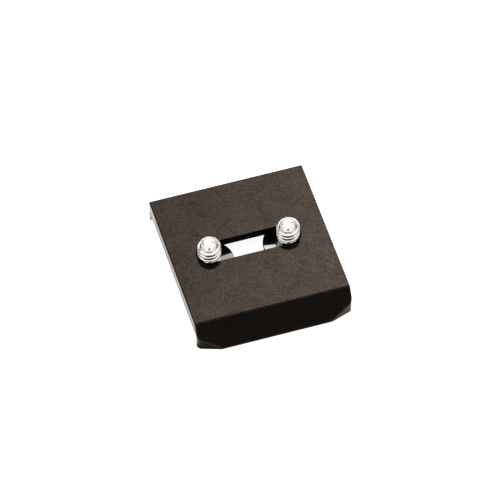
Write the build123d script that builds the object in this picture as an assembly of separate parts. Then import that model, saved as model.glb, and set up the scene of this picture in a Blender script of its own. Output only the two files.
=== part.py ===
"""Camera quick release plate: a milled aluminium plate with two camera screws that slide in one slot.

Millimetres. X runs along the slot, +Y to the back lip, +Z up out of the camera face.
The origin is on the table, under the middle of the whole plate.
"""

import os

from build123d import *

# Plate, outside
PLATE_WIDTH = 43.0
SEAT_DEPTH = 42.6
PLATE_HEIGHT = 7.7
EDGE_BREAK = 0.25

# Channel under the plate, between the front rail and the back lip
CHANNEL_HEIGHT = 4.0
RAIL_SETBACK = 1.6
RAIL_ROOT_RADIUS = 0.5
LIP_TIP = 0.3
LIP_RUN = 3.3

# Clamping flank along the front, with its tapered and rounded ends
FLANK_RUN = 4.6
FLANK_LAND = 0.7
TAPER_LENGTH = 6.2
TAPER_DEPTH = 2.05
CORNER_RADIUS = 1.6

# Camera screws, standing in the slot with their heads on the table
THREAD_DIAMETER = 6.35
SCREW_PROUD = 5.15
CROWN_HEIGHT = 2.05
SHANK_RELIEF = 0.175
HEAD_DIAMETER = 12.8
HEAD_HEIGHT = 2.8
HEAD_CHAMFER = 0.3
COIN_SLOT_WIDTH = 1.6
COIN_SLOT_DEPTH = 1.2

# Dished spring washers, lying on the heads with their rims up
WASHER_DIAMETER = 13.6
WASHER_THICKNESS = 0.9
WASHER_DISH = 0.4
WASHER_SEAT = 0.6
WASHER_CLEARANCE = 0.06
WASHER_EDGE = 0.15

# Slot through the plate and the head pocket under it
SLOT_END_WALL = 6.9
SLOT_CLEARANCE = 0.125
SLOT_WEB = 2.6
SCREW_END_GAP = 0.3
POCKET_CLEARANCE = 0.35

# Places worked out from the sizes above
front = -(SEAT_DEPTH + FLANK_RUN) / 2
back = (SEAT_DEPTH + FLANK_RUN) / 2
seat_front = front + FLANK_RUN
slot_y = (seat_front + back) / 2
rail_inner = seat_front - RAIL_SETBACK
thread_radius = THREAD_DIAMETER / 2
shank_radius = thread_radius - SHANK_RELIEF
slot_width = THREAD_DIAMETER + 2 * SLOT_CLEARANCE
slot_span = PLATE_WIDTH - 2 * SLOT_END_WALL - slot_width
pocket_width = WASHER_DIAMETER + 2 * POCKET_CLEARANCE
pocket_roof = PLATE_HEIGHT - SLOT_WEB
screw_x = slot_span / 2 - SCREW_END_GAP


def plate_section():
    """The bar's section across the slot: back lip, channel, front rail with its flank, camera face."""
    outline = Polyline(
        (back, 0),
        (back - LIP_TIP, 0),
        (back - LIP_TIP - LIP_RUN, CHANNEL_HEIGHT),
        (rail_inner, CHANNEL_HEIGHT),
        (rail_inner, 0),
        (front, 0),
        (front, FLANK_LAND),
        (seat_front, PLATE_HEIGHT),
        (back, PLATE_HEIGHT),
        close=True,
    )
    section = make_face(outline)
    root = section.vertices().sort_by_distance((rail_inner, CHANNEL_HEIGHT))[0]
    return fillet(root, RAIL_ROOT_RADIUS)


def plate_plan():
    """The plate seen from above: square at the back, tapered ends and rounded corners on the front rail."""
    side = PLATE_WIDTH / 2
    outline = Polyline(
        (-side, back),
        (-side, front + TAPER_DEPTH),
        (-side + TAPER_LENGTH, front),
        (side - TAPER_LENGTH, front),
        (side, front + TAPER_DEPTH),
        (side, back),
        close=True,
    )
    plan = make_face(outline)
    corners = [v for v in plan.vertices() if abs(v.Y - front - TAPER_DEPTH) < 1e-6]
    return fillet(corners, CORNER_RADIUS)


def plate_body():
    bar = extrude(Plane.YZ * plate_section(), PLATE_WIDTH / 2, both=True)
    body = bar & extrude(plate_plan(), PLATE_HEIGHT)

    # Broken edges: around the camera face, down both ends of the flank, and the two back uprights
    seat = body.faces().sort_by(Axis.Z)[-1]
    flank = body.faces().sort_by_distance((0, (front + seat_front) / 2, PLATE_HEIGHT / 2))[0]
    flank_ends = flank.edges().sort_by(Axis.Z)[1:-1]
    uprights = body.edges().filter_by(Axis.Z).group_by(Axis.Y)[-1]
    body = chamfer(seat.edges() + flank_ends + uprights, EDGE_BREAK)

    # Slot for the screws, with a wider pocket under it that clears the washers
    centre = Pos(0, slot_y, 0)
    body -= centre * extrude(SlotCenterToCenter(slot_span, slot_width), PLATE_HEIGHT)
    body -= centre * extrude(SlotCenterToCenter(slot_span, pocket_width), pocket_roof)
    return body


def camera_screw():
    """Turned profile, revolved: chamfered head, plain shank, thread's outer cylinder and domed end."""
    tip = PLATE_HEIGHT + SCREW_PROUD
    thread_top = tip - CROWN_HEIGHT
    head_radius = HEAD_DIAMETER / 2
    side = Polyline(
        (0, 0),
        (head_radius - HEAD_CHAMFER, 0),
        (head_radius, HEAD_CHAMFER),
        (head_radius, HEAD_HEIGHT),
        (shank_radius, HEAD_HEIGHT),
        (shank_radius, PLATE_HEIGHT),
        (thread_radius, PLATE_HEIGHT),
        (thread_radius, thread_top),
    )
    crown = TangentArc((0, tip), (thread_radius, thread_top), tangent=(1, 0))
    axis_line = Line((0, tip), (0, 0))
    profile = make_face([side, crown, axis_line])
    screw = revolve(Plane.XZ * profile, Axis.Z)
    coin_slot = Box(
        HEAD_DIAMETER,
        COIN_SLOT_WIDTH,
        COIN_SLOT_DEPTH,
        align=(Align.CENTER, Align.CENTER, Align.MIN),
    )
    return screw - coin_slot


def washer():
    """Dished ring, revolved: a narrow flat seat round the bore, then a cone up to the rim."""
    bore = shank_radius + WASHER_CLEARANCE
    rim = WASHER_DIAMETER / 2
    outline = Polyline(
        (bore, HEAD_HEIGHT),
        (bore + WASHER_SEAT, HEAD_HEIGHT),
        (rim, HEAD_HEIGHT + WASHER_DISH),
        (rim, HEAD_HEIGHT + WASHER_DISH + WASHER_THICKNESS),
        (bore, HEAD_HEIGHT + WASHER_THICKNESS),
        close=True,
    )
    disc = revolve(Plane.XZ * make_face(outline), Axis.Z)
    rims = disc.edges().filter_by(GeomType.CIRCLE).group_by(SortBy.RADIUS)[-1]
    return chamfer(rims, WASHER_EDGE)


os.makedirs("parts", exist_ok=True)
export_step(plate_body(), "parts/plate_body.step")
for side, x in (("left", -screw_x), ("right", screw_x)):
    place = Pos(x, slot_y, 0)
    export_step(place * camera_screw(), f"parts/{side}_camera_screw.step")
    export_step(place * washer(), f"parts/{side}_washer.step")
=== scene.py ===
"""Looks of the camera quick release plate: black anodised plate, plated camera screws with real threads.

Metres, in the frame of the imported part: X along the slot, +Y to the back lip, +Z out of the camera face.
"""

import math

import bpy
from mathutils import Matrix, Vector


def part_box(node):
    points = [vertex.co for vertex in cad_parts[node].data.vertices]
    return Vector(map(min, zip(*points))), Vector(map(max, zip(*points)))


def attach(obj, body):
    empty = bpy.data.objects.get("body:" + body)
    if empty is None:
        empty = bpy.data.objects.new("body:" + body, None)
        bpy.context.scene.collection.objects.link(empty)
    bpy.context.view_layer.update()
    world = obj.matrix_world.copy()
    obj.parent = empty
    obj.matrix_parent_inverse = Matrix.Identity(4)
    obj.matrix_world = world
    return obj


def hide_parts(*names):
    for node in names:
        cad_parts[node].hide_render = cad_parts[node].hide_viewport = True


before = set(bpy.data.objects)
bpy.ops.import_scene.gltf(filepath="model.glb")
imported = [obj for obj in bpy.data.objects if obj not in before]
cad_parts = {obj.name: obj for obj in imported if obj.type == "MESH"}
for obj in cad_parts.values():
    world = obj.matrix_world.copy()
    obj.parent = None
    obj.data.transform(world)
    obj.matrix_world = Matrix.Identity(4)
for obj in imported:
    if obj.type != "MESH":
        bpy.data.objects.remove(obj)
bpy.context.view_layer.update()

MM = 0.001
WHITE = (1, 1, 1, 1)
BLACK = (0, 0, 0, 1)

# Limit of a box on a side where it has none
OPEN_SIDE = 1.0

# Camera, fitted to the plate's edges in the photograph
IMAGE_PIXELS = 500
SENSOR_WIDTH = 36.0
CLIP_START = 0.01
CLIP_END = 100
VIEW_AZIMUTH = -17.16
VIEW_ELEVATION = 53.10
VIEW_DISTANCE = 1217 * MM
VIEW_POINT = Vector((0, 0, 4.0 * MM))
VIEW_POINT_PIXEL = (251.32, 258.12)
PIXELS_PER_METRE = 3748

# Camera thread, 1/4 inch with 20 turns to the inch, rolled on the top of the shank
THREAD_RADIUS = 3.175 * MM
SHANK_RADIUS = 3.0 * MM
CROWN_HEIGHT = 2.05 * MM
THREAD_PITCH = 1.27 * MM
THREAD_DEPTH = 0.779 * MM
CREST_SHARE = 0.26
ROOT_SHARE = 0.12
CORNER_SHIFTS = (-0.02, 0, 0.02)
THREAD_LENGTH = 3.1 * MM
THREAD_RUNOUT = 0.7 * MM
THREAD_PHASE = 0.91

# Head of a screw, with a slot for a coin
HEAD_CHAMFER = 0.3 * MM
COIN_SLOT_WIDTH = 1.6 * MM
COIN_SLOT_DEPTH = 1.2 * MM
CUTTER_REACH = 20 * MM

# Mesh of a screw
SCREW_STEPS = 160
ROWS_PER_PITCH = 64
DOME_ROWS = 40
SHARP_ANGLE = 40

# Noise in the materials: its usual lowest and highest value, and how rough its detail is
NOISE_LOW = 0.3
NOISE_HIGH = 0.7
NOISE_ROUGHNESS = 0.55

# Blasted finish of the plate
BLAST_SIZE = 0.42 * MM
BLAST_DETAIL = 3
BLAST_DARK = (0.0086, 0.0066, 0.0053)
BLAST_LIGHT = (0.0314, 0.0243, 0.0194)
BLAST_ROUGHNESS = (0.155, 0.115)
BLAST_DEPTH = 0.01 * MM
BLAST_BUMP = 0.2
CLOUD_SIZE = 5.0 * MM
CLOUD_DETAIL = 2
CLOUD_SHARE = 0.2
GRAZING_TINT = (1.0, 0.93, 0.91)

# Matt walls of the milled slot and pocket, with painted shade that darkens them in the recess
SLOT_REACH_X = 18.5 * MM
SLOT_REACH_Y = 7.2 * MM
SLOT_EDGE = 0.05 * MM
# Painted shade: the darker colour given to the walls inside the slot and pocket
SLOT_SHADE_BLACK = (0.005, 0.004, 0.0035)
MILLED_ROUGHNESS = 0.7

# Plated screws and burnished washers
SCREW_COLOUR = (0.93, 0.9, 0.87)
SCREW_ROUGHNESS = (0.05, 0.1)
WASHER_COLOUR = (0.17, 0.155, 0.14)
WASHER_ROUGHNESS = (0.06, 0.1)
THREAD_ROUGHNESS = 0.08
MARK_SIZE = 0.8 * MM
MARK_DETAIL = 4
MARK_GAIN = 1.05
RING_SIZE = 0.3 * MM
RING_DETAIL = 2
RING_NOISE_ROUGHNESS = 0.5
RING_DEPTH = 0.015 * MM
RING_BUMP = 1.0
FINE_SIZE = 0.12 * MM
FINE_DETAIL = 2
FINE_DEPTH = 0.003 * MM
FINE_BUMP = 0.1

# Studio light
WORLD_LIGHT = 0.5
SOFTBOX_DISTANCE = 0.4
SOFTBOX_SIZE = 0.5
SOFTBOX_WATTS = 3.75
SOFTBOX_AZIMUTH = 163
SOFTBOX_ELEVATION = 53
HOT_SPOT = (0.335, 0.55, 0)
HOT_SPOT_REACH = 0.35
HOT_SPOT_RIM = 0.26

# White floor: what it shows to the camera, and where metal sees it in shade
FLOOR_SIZE = 6.0
FLOOR_DROP = 0.02 * MM
FLOOR_COLOUR = (0.8, 0.8, 0.8, 1)
FLOOR_ROUGHNESS = 0.9
FLOOR_GLOW = 0.9
FLOOR_IN_SHADE = 0.15
TABLE_FRONT = -75 * MM
TABLE_FRONT_LEFT = -0.6
TABLE_FRONT_RIGHT = 0.3
TABLE_RIGHT = 55 * MM
TABLE_RIGHT_FRONT = -90 * MM
TABLE_RIGHT_BACK = 60 * MM
SHADE_IN_FRONT = 2.5 * MM
SHADE_BEHIND = 3.0 * MM
SHADE_LEFT = 0.9 * MM
SHADE_OPEN_RIGHT = 6.5 * MM

# Parts of the studio that only reflections see
CARD_STEPS = 24
CARDS = (
    # name, distance, azimuths, lowest and highest elevation, light that it gives off
    ("dark_table", 0.9, -60, 25, 0, 6, 0.0),
    ("dark_front", 0.9, -60, 25, 6, 19, 0.4),
    ("dark_sill", 0.9, -52, 22, 19, 28, 0.0),
    ("dark_post", 0.9, -24, -10, 28, 44, 0.6),
    ("dark_stand", 0.9, -136, -108, 0, 17, 0.15),
    ("dark_side", 0.9, 62, 106, 0, 30, 0.3),
    ("left_seam", 0.9, -140, -129, 31, 43, 0.3),
    ("right_seam", 0.2, 114, 146, 40, 58, 0.25),
)
TENT_DISTANCE = 0.95
TENT_AZIMUTHS = (25, 300)
TENT_TOP = 50
TENT_GLOW_LOW = 0.42
LENS_STEPS = 32
LENS_RADIUS = 0.2
LENS_GLOW = 0.17


def direction(azimuth, elevation):
    """Unit vector to a place round the part: azimuth 0 is in front, 90 to the right."""
    a = math.radians(azimuth)
    e = math.radians(elevation)
    return Vector((math.sin(a) * math.cos(e), -math.cos(a) * math.cos(e), math.sin(e)))


def new_object(name, data):
    """An object of this name in the scene."""
    made = bpy.data.objects.new(name, data)
    bpy.context.scene.collection.objects.link(made)
    return made


# Node helpers

def new_material(name):
    """A node material, with its tree and its shader."""
    material = bpy.data.materials.new(name)
    material.use_nodes = True
    tree = material.node_tree
    shader = next(n for n in tree.nodes if n.type == "BSDF_PRINCIPLED")
    return material, tree, shader


def add(tree, kind, **inputs):
    """A new node with these input values. A space in an input's name is written as _."""
    node = tree.nodes.new(kind)
    for name, value in inputs.items():
        node.inputs[name.replace("_", " ")].default_value = value
    return node


def object_place(tree):
    """Where a point lies in its object's own frame."""
    return tree.nodes.new("ShaderNodeTexCoord").outputs["Object"]


def grain(tree, place, size, detail):
    """Noise whose blotches are about this many metres across."""
    noise = add(tree, "ShaderNodeTexNoise", Scale=1 / size, Detail=detail, Roughness=NOISE_ROUGHNESS)
    tree.links.new(place, noise.inputs["Vector"])
    return noise.outputs["Fac"]


def turned_rings(tree, place):
    """Uneven rings round the Z axis, as a lathe leaves them."""
    flat = tree.nodes.new("ShaderNodeVectorMath")
    flat.operation = "MULTIPLY"
    flat.inputs[1].default_value = (1, 1, 0)
    tree.links.new(place, flat.inputs[0])
    radius = tree.nodes.new("ShaderNodeVectorMath")
    radius.operation = "LENGTH"
    tree.links.new(flat.outputs["Vector"], radius.inputs[0])
    noise = add(
        tree, "ShaderNodeTexNoise",
        Scale=1 / RING_SIZE, Detail=RING_DETAIL, Roughness=RING_NOISE_ROUGHNESS,
    )
    noise.noise_dimensions = "1D"
    tree.links.new(radius.outputs["Value"], noise.inputs["W"])
    return noise.outputs["Fac"]


def spread(tree, value, low, high):
    """Noise value mapped to a range of numbers."""
    mapped = add(
        tree, "ShaderNodeMapRange",
        From_Min=NOISE_LOW, From_Max=NOISE_HIGH, To_Min=low, To_Max=high,
    )
    tree.links.new(value, mapped.inputs["Value"])
    return mapped.outputs["Result"]


def ramp(tree, value, dark, light):
    """Noise value mapped to a range of colours."""
    node = tree.nodes.new("ShaderNodeValToRGB")
    node.color_ramp.elements[0].position = NOISE_LOW
    node.color_ramp.elements[0].color = (*dark, 1)
    node.color_ramp.elements[1].position = NOISE_HIGH
    node.color_ramp.elements[1].color = (*light, 1)
    tree.links.new(value, node.inputs["Fac"])
    return node.outputs["Color"]


def bump(tree, shader, height, depth, strength):
    """Lets a height value shape the shader's surface."""
    node = add(tree, "ShaderNodeBump", Strength=strength, Distance=depth)
    tree.links.new(height, node.inputs["Height"])
    tree.links.new(node.outputs["Normal"], shader.inputs["Normal"])


def maths(tree, operation, first, second):
    """Result of an operation on two values, each a number or a node's output."""
    node = tree.nodes.new("ShaderNodeMath")
    node.operation = operation
    for socket, value in zip(node.inputs, (first, second)):
        if isinstance(value, float):
            socket.default_value = value
        else:
            tree.links.new(value, socket)
    return node.outputs["Value"]


def mix_colour(tree, share, first, second):
    """The first colour, with this share of the second, plain one."""
    node = tree.nodes.new("ShaderNodeMix")
    node.data_type = "RGBA"
    node.inputs["B"].default_value = (*second, 1)
    tree.links.new(share, node.inputs["Factor"])
    tree.links.new(first, node.inputs["A"])
    return node.outputs["Result"]


def within(tree, place, low, high):
    """1 inside an upright box, given by two corners, else 0."""
    parts = tree.nodes.new("ShaderNodeSeparateXYZ")
    tree.links.new(place, parts.inputs["Vector"])
    inside = None
    for axis, least, most in zip("XYZ", low, high):
        above = maths(tree, "GREATER_THAN", parts.outputs[axis], least)
        both = maths(tree, "MULTIPLY", above, maths(tree, "LESS_THAN", parts.outputs[axis], most))
        inside = both if inside is None else maths(tree, "MULTIPLY", inside, both)
    return inside


# Materials of the part

def in_slot(tree, place):
    """1 on the walls of the slot and of the pocket under it, else 0."""
    low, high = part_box("left_camera_screw")
    slot_y = (low.y + high.y) / 2
    plate_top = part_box("plate_body")[1].z
    slot_low = (-SLOT_REACH_X, slot_y - SLOT_REACH_Y, -OPEN_SIDE)
    slot_high = (SLOT_REACH_X, slot_y + SLOT_REACH_Y, plate_top - SLOT_EDGE)
    return within(tree, place, slot_low, slot_high)


def black_anodised():
    """Fine blasted aluminium, dyed a warm black, satin. The slot and pocket walls are matt, with painted
    shade darkening their colour.
    """
    material, tree, shader = new_material("black_anodised")
    shader.inputs["Metallic"].default_value = 1.0
    shader.inputs["Specular Tint"].default_value = (*GRAZING_TINT, 1)
    place = object_place(tree)
    fine = maths(tree, "MULTIPLY", grain(tree, place, BLAST_SIZE, BLAST_DETAIL), 1.0 - CLOUD_SHARE)
    cloud = maths(tree, "MULTIPLY", grain(tree, place, CLOUD_SIZE, CLOUD_DETAIL), CLOUD_SHARE)
    blast = maths(tree, "ADD", fine, cloud)
    milled_and_shaded = in_slot(tree, place)
    sheen = ramp(tree, blast, BLAST_DARK, BLAST_LIGHT)
    satin = spread(tree, blast, *BLAST_ROUGHNESS)
    matt = maths(tree, "MULTIPLY", milled_and_shaded, MILLED_ROUGHNESS)
    # Inside the slot and pocket: matt from milling, and a darker colour that is painted shade
    tree.links.new(mix_colour(tree, milled_and_shaded, sheen, SLOT_SHADE_BLACK), shader.inputs["Base Color"])
    tree.links.new(maths(tree, "MAXIMUM", satin, matt), shader.inputs["Roughness"])
    bump(tree, shader, blast, BLAST_DEPTH, BLAST_BUMP)
    return material


def plated_steel(name, colour, gloss, rolled=None):
    """Steel with bright plating and a few soft marks.

    Given the heights between which a thread is rolled, it has a lathe's rings, and is satin between them.
    """
    material, tree, shader = new_material(name)
    shader.inputs["Metallic"].default_value = 1.0
    place = object_place(tree)
    marks = grain(tree, place, MARK_SIZE, MARK_DETAIL)
    pale = tuple(min(1.0, c * MARK_GAIN) for c in colour)
    tree.links.new(ramp(tree, marks, colour, pale), shader.inputs["Base Color"])
    roughness = spread(tree, marks, *gloss)
    if rolled:
        foot, top = rolled
        thread = within(tree, place, (-OPEN_SIDE, -OPEN_SIDE, foot), (OPEN_SIDE, OPEN_SIDE, top))
        satin = maths(tree, "MULTIPLY", thread, THREAD_ROUGHNESS)
        roughness = maths(tree, "MAXIMUM", roughness, satin)
        bump(tree, shader, turned_rings(tree, place), RING_DEPTH, RING_BUMP)
    else:
        bump(tree, shader, grain(tree, place, FINE_SIZE, FINE_DETAIL), FINE_DEPTH, FINE_BUMP)
    tree.links.new(roughness, shader.inputs["Roughness"])
    return material


def paint(node, material):
    """Gives a carried-over solid its material in every slot."""
    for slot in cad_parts[node].material_slots:
        slot.material = material


# Camera screws

def thread_cut(z, angle, thread_top):
    """Depth of the groove below the crest at this height and angle, with its corners rounded."""
    turns = (z - thread_top) / THREAD_PITCH - angle / math.tau + THREAD_PHASE
    shares = []
    for shift in CORNER_SHIFTS:
        off_root = abs(((turns + shift) % 1.0) - 0.5) * 2
        share = (1 - CREST_SHARE - off_root) / (1 - CREST_SHARE - ROOT_SHARE)
        shares.append(min(1.0, max(0.0, share)))
    return THREAD_DEPTH * sum(shares) / len(shares)


def screw_profile(head_radius, head_top, apex):
    """Heights and smooth radii of the rings, from the foot of the head to the tip of the dome."""
    thread_top = apex - CROWN_HEIGHT
    crown_radius = (THREAD_RADIUS ** 2 + CROWN_HEIGHT ** 2) / (2 * CROWN_HEIGHT)
    rings = [
        (0, head_radius - HEAD_CHAMFER),
        (HEAD_CHAMFER, head_radius),
        (head_top, head_radius),
        (head_top, SHANK_RADIUS),
    ]
    thread_foot = thread_top - THREAD_LENGTH - THREAD_RUNOUT
    step = THREAD_PITCH / ROWS_PER_PITCH
    rows = round((thread_top - thread_foot) / step)
    rings += [(thread_foot + (thread_top - thread_foot) * i / rows, THREAD_RADIUS) for i in range(rows)]
    shoulder = math.acos(THREAD_RADIUS / crown_radius)
    for i in range(DOME_ROWS):
        lean = shoulder + (math.pi / 2 - shoulder) * i / DOME_ROWS
        rings.append((apex - crown_radius * (1 - math.sin(lean)), crown_radius * math.cos(lean)))
    return rings, thread_foot, thread_top


def screw_mesh(name, head_radius, head_top, apex):
    """Closed mesh of a screw on the Z axis: one flat foot, rings of points, and the tip of the dome."""
    rings, thread_foot, thread_top = screw_profile(head_radius, head_top, apex)
    points = []
    for z, smooth in rings:
        for k in range(SCREW_STEPS):
            angle = math.tau * k / SCREW_STEPS
            radius = smooth
            if z >= thread_foot:
                grown = min(1.0, (z - thread_foot) / THREAD_RUNOUT)
                threaded = THREAD_RADIUS - thread_cut(z, angle, thread_top)
                radius = min(smooth, SHANK_RADIUS + (threaded - SHANK_RADIUS) * grown)
            points.append((radius * math.cos(angle), radius * math.sin(angle), z))
    tip = len(points)
    points.append((0, 0, apex))
    last = (len(rings) - 1) * SCREW_STEPS
    faces = [tuple(reversed(range(SCREW_STEPS)))]
    for k in range(SCREW_STEPS):
        n = (k + 1) % SCREW_STEPS
        faces.append((last + k, last + n, tip))
        for row in range(len(rings) - 1):
            low = row * SCREW_STEPS
            high = low + SCREW_STEPS
            faces.append((low + k, low + n, high + n, high + k))
    mesh = bpy.data.meshes.new(name)
    mesh.from_pydata(points, [], faces)
    return mesh


def cut_coin_slot(screw):
    """Cuts the driver's slot across the underside of the head."""
    half = COIN_SLOT_WIDTH / 2
    corners = [
        (x, y, z)
        for x in (-CUTTER_REACH, CUTTER_REACH)
        for y in (-half, half)
        for z in (-COIN_SLOT_DEPTH, COIN_SLOT_DEPTH)
    ]
    sides = [(0, 1, 3, 2), (4, 6, 7, 5), (0, 4, 5, 1), (2, 3, 7, 6), (0, 2, 6, 4), (1, 5, 7, 3)]
    cutter_mesh = bpy.data.meshes.new("coin_slot")
    cutter_mesh.from_pydata(corners, [], sides)
    cutter = new_object("coin_slot", cutter_mesh)
    cut = screw.modifiers.new("coin_slot", "BOOLEAN")
    cut.operation = "DIFFERENCE"
    cut.solver = "EXACT"
    cut.object = cutter
    bpy.context.view_layer.update()
    depsgraph = bpy.context.evaluated_depsgraph_get()
    finished = bpy.data.meshes.new_from_object(screw.evaluated_get(depsgraph))
    screw.modifiers.clear()
    screw.data = finished
    bpy.data.objects.remove(cutter)


def camera_screw(side, material):
    """A screw with its real thread, in the place of the plain one."""
    node = f"{side}_camera_screw"
    low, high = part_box(node)
    washer_low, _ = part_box(f"{side}_washer")
    mesh = screw_mesh(f"{side}_threaded_screw", (high.x - low.x) / 2, washer_low.z, high.z)
    screw = new_object(f"{side}_threaded_screw", mesh)
    cut_coin_slot(screw)
    screw.data.materials.append(material)
    screw.data.shade_smooth()
    screw.data.set_sharp_from_angle(angle=math.radians(SHARP_ANGLE))
    screw.location = Vector(((low.x + high.x) / 2, (low.y + high.y) / 2, 0))
    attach(screw, f"{side}_screw")
    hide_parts(node)


# Studio

def seen_from(tree):
    """Two values: 1 for rays from the camera, and 1 for those that metal and glass pass on, else 0."""
    path = tree.nodes.new("ShaderNodeLightPath")
    passed_on = maths(tree, "MAXIMUM", path.outputs["Is Glossy Ray"], path.outputs["Is Transmission Ray"])
    return path.outputs["Is Camera Ray"], passed_on


def white_world():
    """White all round for the camera and in metal, and a plain soft light on the part."""
    world = bpy.data.worlds.new("white_studio")
    bpy.context.scene.world = world
    world.use_nodes = True
    tree = world.node_tree
    light = next(n for n in tree.nodes if n.type == "BACKGROUND")
    light.inputs["Color"].default_value = WHITE
    light.inputs["Strength"].default_value = WORLD_LIGHT
    shown = add(tree, "ShaderNodeBackground", Color=WHITE, Strength=1.0)
    mix = tree.nodes.new("ShaderNodeMixShader")
    output = next(n for n in tree.nodes if n.type == "OUTPUT_WORLD")
    tree.links.new(maths(tree, "MAXIMUM", *seen_from(tree)), mix.inputs["Fac"])
    tree.links.new(light.outputs["Background"], mix.inputs[1])
    tree.links.new(shown.outputs["Background"], mix.inputs[2])
    tree.links.new(mix.outputs["Shader"], output.inputs["Surface"])


def floor_in_shade(tree):
    """1 on the floor under the part and past the ends of the lit table, else 0."""
    place = object_place(tree)
    low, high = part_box("plate_body")
    under_low = (low.x - SHADE_LEFT, low.y - SHADE_IN_FRONT, -OPEN_SIDE)
    under_high = (high.x - SHADE_OPEN_RIGHT, high.y + SHADE_BEHIND, OPEN_SIDE)
    front_low = (TABLE_FRONT_LEFT, -FLOOR_SIZE, -OPEN_SIDE)
    front_high = (TABLE_FRONT_RIGHT, TABLE_FRONT, OPEN_SIDE)
    right_low = (TABLE_RIGHT, TABLE_RIGHT_FRONT, -OPEN_SIDE)
    right_high = (FLOOR_SIZE, TABLE_RIGHT_BACK, OPEN_SIDE)
    under = within(tree, place, under_low, under_high)
    off_front = within(tree, place, front_low, front_high)
    off_right = within(tree, place, right_low, right_high)
    return maths(tree, "MAXIMUM", under, maths(tree, "MAXIMUM", off_front, off_right))


def white_floor():
    """A pale floor that takes the part's shadow. Metal sees it darker where it is in shade."""
    half = FLOOR_SIZE / 2
    mesh = bpy.data.meshes.new("floor")
    corners = [(-half, -half), (half, -half), (half, half), (-half, half)]
    mesh.from_pydata([(x, y, -FLOOR_DROP) for x, y in corners], [], [(0, 1, 2, 3)])
    floor = new_object("floor", mesh)
    material, tree, shader = new_material("white_floor")
    shader.inputs["Base Color"].default_value = FLOOR_COLOUR
    shader.inputs["Roughness"].default_value = FLOOR_ROUGHNESS
    shader.inputs["Specular IOR Level"].default_value = 0.0
    shader.inputs["Emission Color"].default_value = WHITE
    lost = maths(tree, "MULTIPLY", floor_in_shade(tree), 1.0 - FLOOR_IN_SHADE)
    open_floor = maths(tree, "SUBTRACT", 1.0, lost)
    in_camera, in_metal = seen_from(tree)
    seen = maths(tree, "MAXIMUM", in_camera, maths(tree, "MULTIPLY", in_metal, open_floor))
    tree.links.new(maths(tree, "MULTIPLY", seen, FLOOR_GLOW), shader.inputs["Emission Strength"])
    mesh.materials.append(material)


def dark_card(name, points, faces, glow):
    """A stage piece that only reflections see, dark but for this glow."""
    mesh = bpy.data.meshes.new(name)
    mesh.from_pydata(points, [], faces)
    card = new_object(name, mesh)
    card.visible_camera = False
    card.visible_diffuse = False
    card.visible_shadow = False
    material, tree, shader = new_material(name)
    shader.inputs["Base Color"].default_value = BLACK
    shader.inputs["Specular IOR Level"].default_value = 0.0
    shader.inputs["Emission Color"].default_value = WHITE
    shader.inputs["Emission Strength"].default_value = glow
    material.cycles.emission_sampling = "NONE"
    mesh.materials.append(material)
    return tree, shader


def studio_card(name, distance, azimuth_from, azimuth_to, low, high, glow):
    """An upright curved card between two azimuths and two elevations."""
    points = []
    for k in range(CARD_STEPS + 1):
        foot = direction(azimuth_from + (azimuth_to - azimuth_from) * k / CARD_STEPS, 0) * distance
        for elevation in (low, high):
            points.append(foot + Vector((0, 0, distance * math.tan(math.radians(elevation)))))
    faces = [(2 * k, 2 * k + 2, 2 * k + 3, 2 * k + 1) for k in range(CARD_STEPS)]
    return dark_card(name, points, faces, glow)


def tent_wall():
    """The white tent round the sides and back, dimmer towards the floor."""
    tree, shader = studio_card("tent_wall", TENT_DISTANCE, *TENT_AZIMUTHS, 0, TENT_TOP, 1.0)
    place = tree.nodes.new("ShaderNodeSeparateXYZ")
    tree.links.new(object_place(tree), place.inputs["Vector"])
    top = TENT_DISTANCE * math.tan(math.radians(TENT_TOP))
    fade = add(tree, "ShaderNodeMapRange", From_Min=0, From_Max=top, To_Min=TENT_GLOW_LOW, To_Max=1)
    tree.links.new(place.outputs["Z"], fade.inputs["Value"])
    tree.links.new(fade.outputs["Result"], shader.inputs["Emission Strength"])


def lens_front(camera):
    """The dark front of the camera, where the photograph was taken from."""
    points = []
    for k in range(LENS_STEPS):
        angle = math.tau * k / LENS_STEPS
        rim = Vector((math.cos(angle), math.sin(angle), 0)) * LENS_RADIUS
        points.append(camera.location + camera.rotation_quaternion @ rim)
    dark_card("lens_front", points, [tuple(range(LENS_STEPS))], LENS_GLOW)


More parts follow.
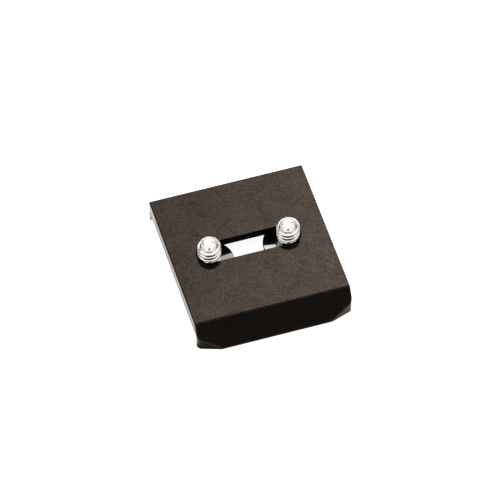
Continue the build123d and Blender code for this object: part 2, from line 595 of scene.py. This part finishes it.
def softbox():
    """A white cloth lit from behind, brightest off its middle."""
    lamp = bpy.data.lights.new("softbox", "AREA")
    lamp.shape = "SQUARE"
    lamp.size = SOFTBOX_SIZE
    lamp.energy = SOFTBOX_WATTS
    lamp.use_nodes = True
    tree = lamp.node_tree
    emission = next(n for n in tree.nodes if n.type == "EMISSION")
    off_centre = tree.nodes.new("ShaderNodeVectorMath")
    off_centre.operation = "DISTANCE"
    off_centre.inputs[1].default_value = HOT_SPOT
    tree.links.new(tree.nodes.new("ShaderNodeNewGeometry").outputs["Parametric"], off_centre.inputs[0])
    falloff = add(
        tree, "ShaderNodeMapRange",
        From_Min=0, From_Max=HOT_SPOT_REACH, To_Min=1, To_Max=HOT_SPOT_RIM,
    )
    falloff.interpolation_type = "SMOOTHSTEP"
    tree.links.new(off_centre.outputs["Value"], falloff.inputs["Value"])
    tree.links.new(falloff.outputs["Result"], emission.inputs["Strength"])
    box = new_object("softbox", lamp)
    towards = direction(SOFTBOX_AZIMUTH, SOFTBOX_ELEVATION)
    box.location = VIEW_POINT + towards * SOFTBOX_DISTANCE
    box.rotation_mode = "QUATERNION"
    box.rotation_quaternion = (-towards).to_track_quat("-Z", "Y")
    box.visible_camera = False


def photo_camera():
    """The camera at the photograph's viewing angle, moved sideways to its framing."""
    data = bpy.data.cameras.new("camera")
    camera = new_object("camera", data)
    data.sensor_width = SENSOR_WIDTH
    data.lens = PIXELS_PER_METRE * VIEW_DISTANCE * SENSOR_WIDTH / IMAGE_PIXELS
    data.clip_start = CLIP_START
    data.clip_end = CLIP_END
    back = direction(VIEW_AZIMUTH, VIEW_ELEVATION)
    turn = (-back).to_track_quat("-Z", "Y")
    right = turn @ Vector((1, 0, 0))
    up = turn @ Vector((0, 1, 0))
    off_x = (IMAGE_PIXELS / 2 - VIEW_POINT_PIXEL[0]) / PIXELS_PER_METRE
    off_y = (VIEW_POINT_PIXEL[1] - IMAGE_PIXELS / 2) / PIXELS_PER_METRE
    camera.location = VIEW_POINT + back * VIEW_DISTANCE + right * off_x + up * off_y
    camera.rotation_mode = "QUATERNION"
    camera.rotation_quaternion = turn
    bpy.context.scene.camera = camera
    return camera


bpy.context.scene.view_settings.view_transform = "Standard"
lens_front(photo_camera())
white_world()
white_floor()
tent_wall()
for card in CARDS:
    studio_card(*card)
softbox()

paint("plate_body", black_anodised())
thread_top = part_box("left_camera_screw")[1].z - CROWN_HEIGHT
thread_span = (thread_top - THREAD_LENGTH - THREAD_RUNOUT, thread_top)
screw_steel = plated_steel("polished_steel", SCREW_COLOUR, SCREW_ROUGHNESS, thread_span)
washer_steel = plated_steel("spring_steel", WASHER_COLOUR, WASHER_ROUGHNESS)
for side in ("left", "right"):
    camera_screw(side, screw_steel)
    paint(f"{side}_washer", washer_steel)
